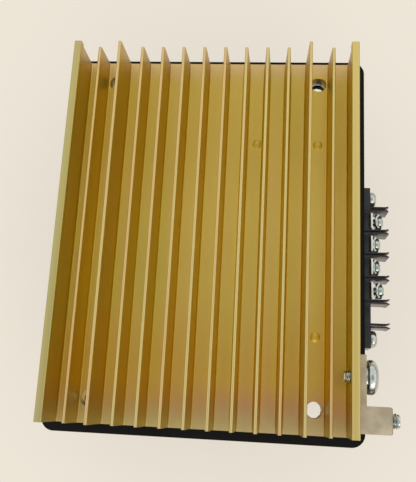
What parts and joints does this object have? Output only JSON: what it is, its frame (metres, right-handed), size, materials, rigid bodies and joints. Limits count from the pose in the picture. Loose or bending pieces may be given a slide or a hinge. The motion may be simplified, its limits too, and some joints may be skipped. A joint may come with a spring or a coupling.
{
  "type": "ac motor drive",
  "caption": "Chassis motor drive: a gold finned aluminium heat sink closes a black moulded cover, with a barrier terminal strip and a ground lug on one side.",
  "frame": {"origin": "on the front face of the cover, under the middle of the heat sink", "axes": "+Z from the cover's front towards the fins, +Y along the fins, +X towards the terminal strip"},
  "size_m": [0.1368, 0.16, 0.074],
  "materials": {
    "gold_aluminium": "gold chromate on extruded aluminium, satin",
    "black_moulding": "black moulded plastic, satin",
    "plated_steel": "bright zinc plating",
    "strip_plastic": "black thermoset, glossy",
    "tinned_brass": "tinned brass, satin",
    "bare_aluminium": "bare aluminium, matt",
    "laminate": "green glass laminate, satin",
    "plated_brass": "nickel plated brass, satin",
    "silicone_pad": "grey silicone, matt",
    "module_plastic": "dark moulded plastic, matt",
    "capacitor_sleeve": "dark shrink sleeve, glossy",
    "box_plastic": "yellow moulded box, satin",
    "ferrite": "pressed ferrite, matt",
    "copper_wire": "enamelled copper, glossy",
    "lamination": "laminated steel, satin",
    "coil_tape": "yellow tape, satin",
    "ceramic": "coated ceramic, satin",
    "fuse_glass": "clear glass tube",
    "blue_plastic": "blue moulded plastic, satin"
  },
  "bodies": {
    "root": {"heat_sink": "gold_aluminium", "cover": "black_moulding", "mounting_sleeves": "plated_steel", "cover_screws": "plated_steel", "terminal_block": "strip_plastic", "terminal_contacts": "tinned_brass", "wire_clamps": "plated_steel", "terminal_screws": "plated_steel", "terminal_block_screws": "plated_steel", "ground_lug": "bare_aluminium", "ground_washer": "plated_steel", "ground_screw": "plated_steel", "lug_clamp_screw": "plated_steel", "circuit_board": "laminate", "board_standoffs": "plated_brass", "board_screws": "plated_steel", "thermal_pad": "silicone_pad", "power_module": "module_plastic", "power_module_screws": "plated_steel", "rectifier_bridge": "module_plastic", "bridge_screw": "plated_steel", "bus_capacitors": "capacitor_sleeve", "film_capacitor": "box_plastic", "choke_core": "ferrite", "choke_winding": "copper_wire", "choke_base": "module_plastic", "relay": "module_plastic", "transformer_core": "lamination", "transformer_coil": "coil_tape", "inrush_thermistor": "ceramic", "fuse": "fuse_glass", "fuse_clips": "tinned_brass", "trim_pots": "blue_plastic", "controller_chip": "module_plastic", "gate_drivers": "module_plastic"}
  },
  "joints": []
}
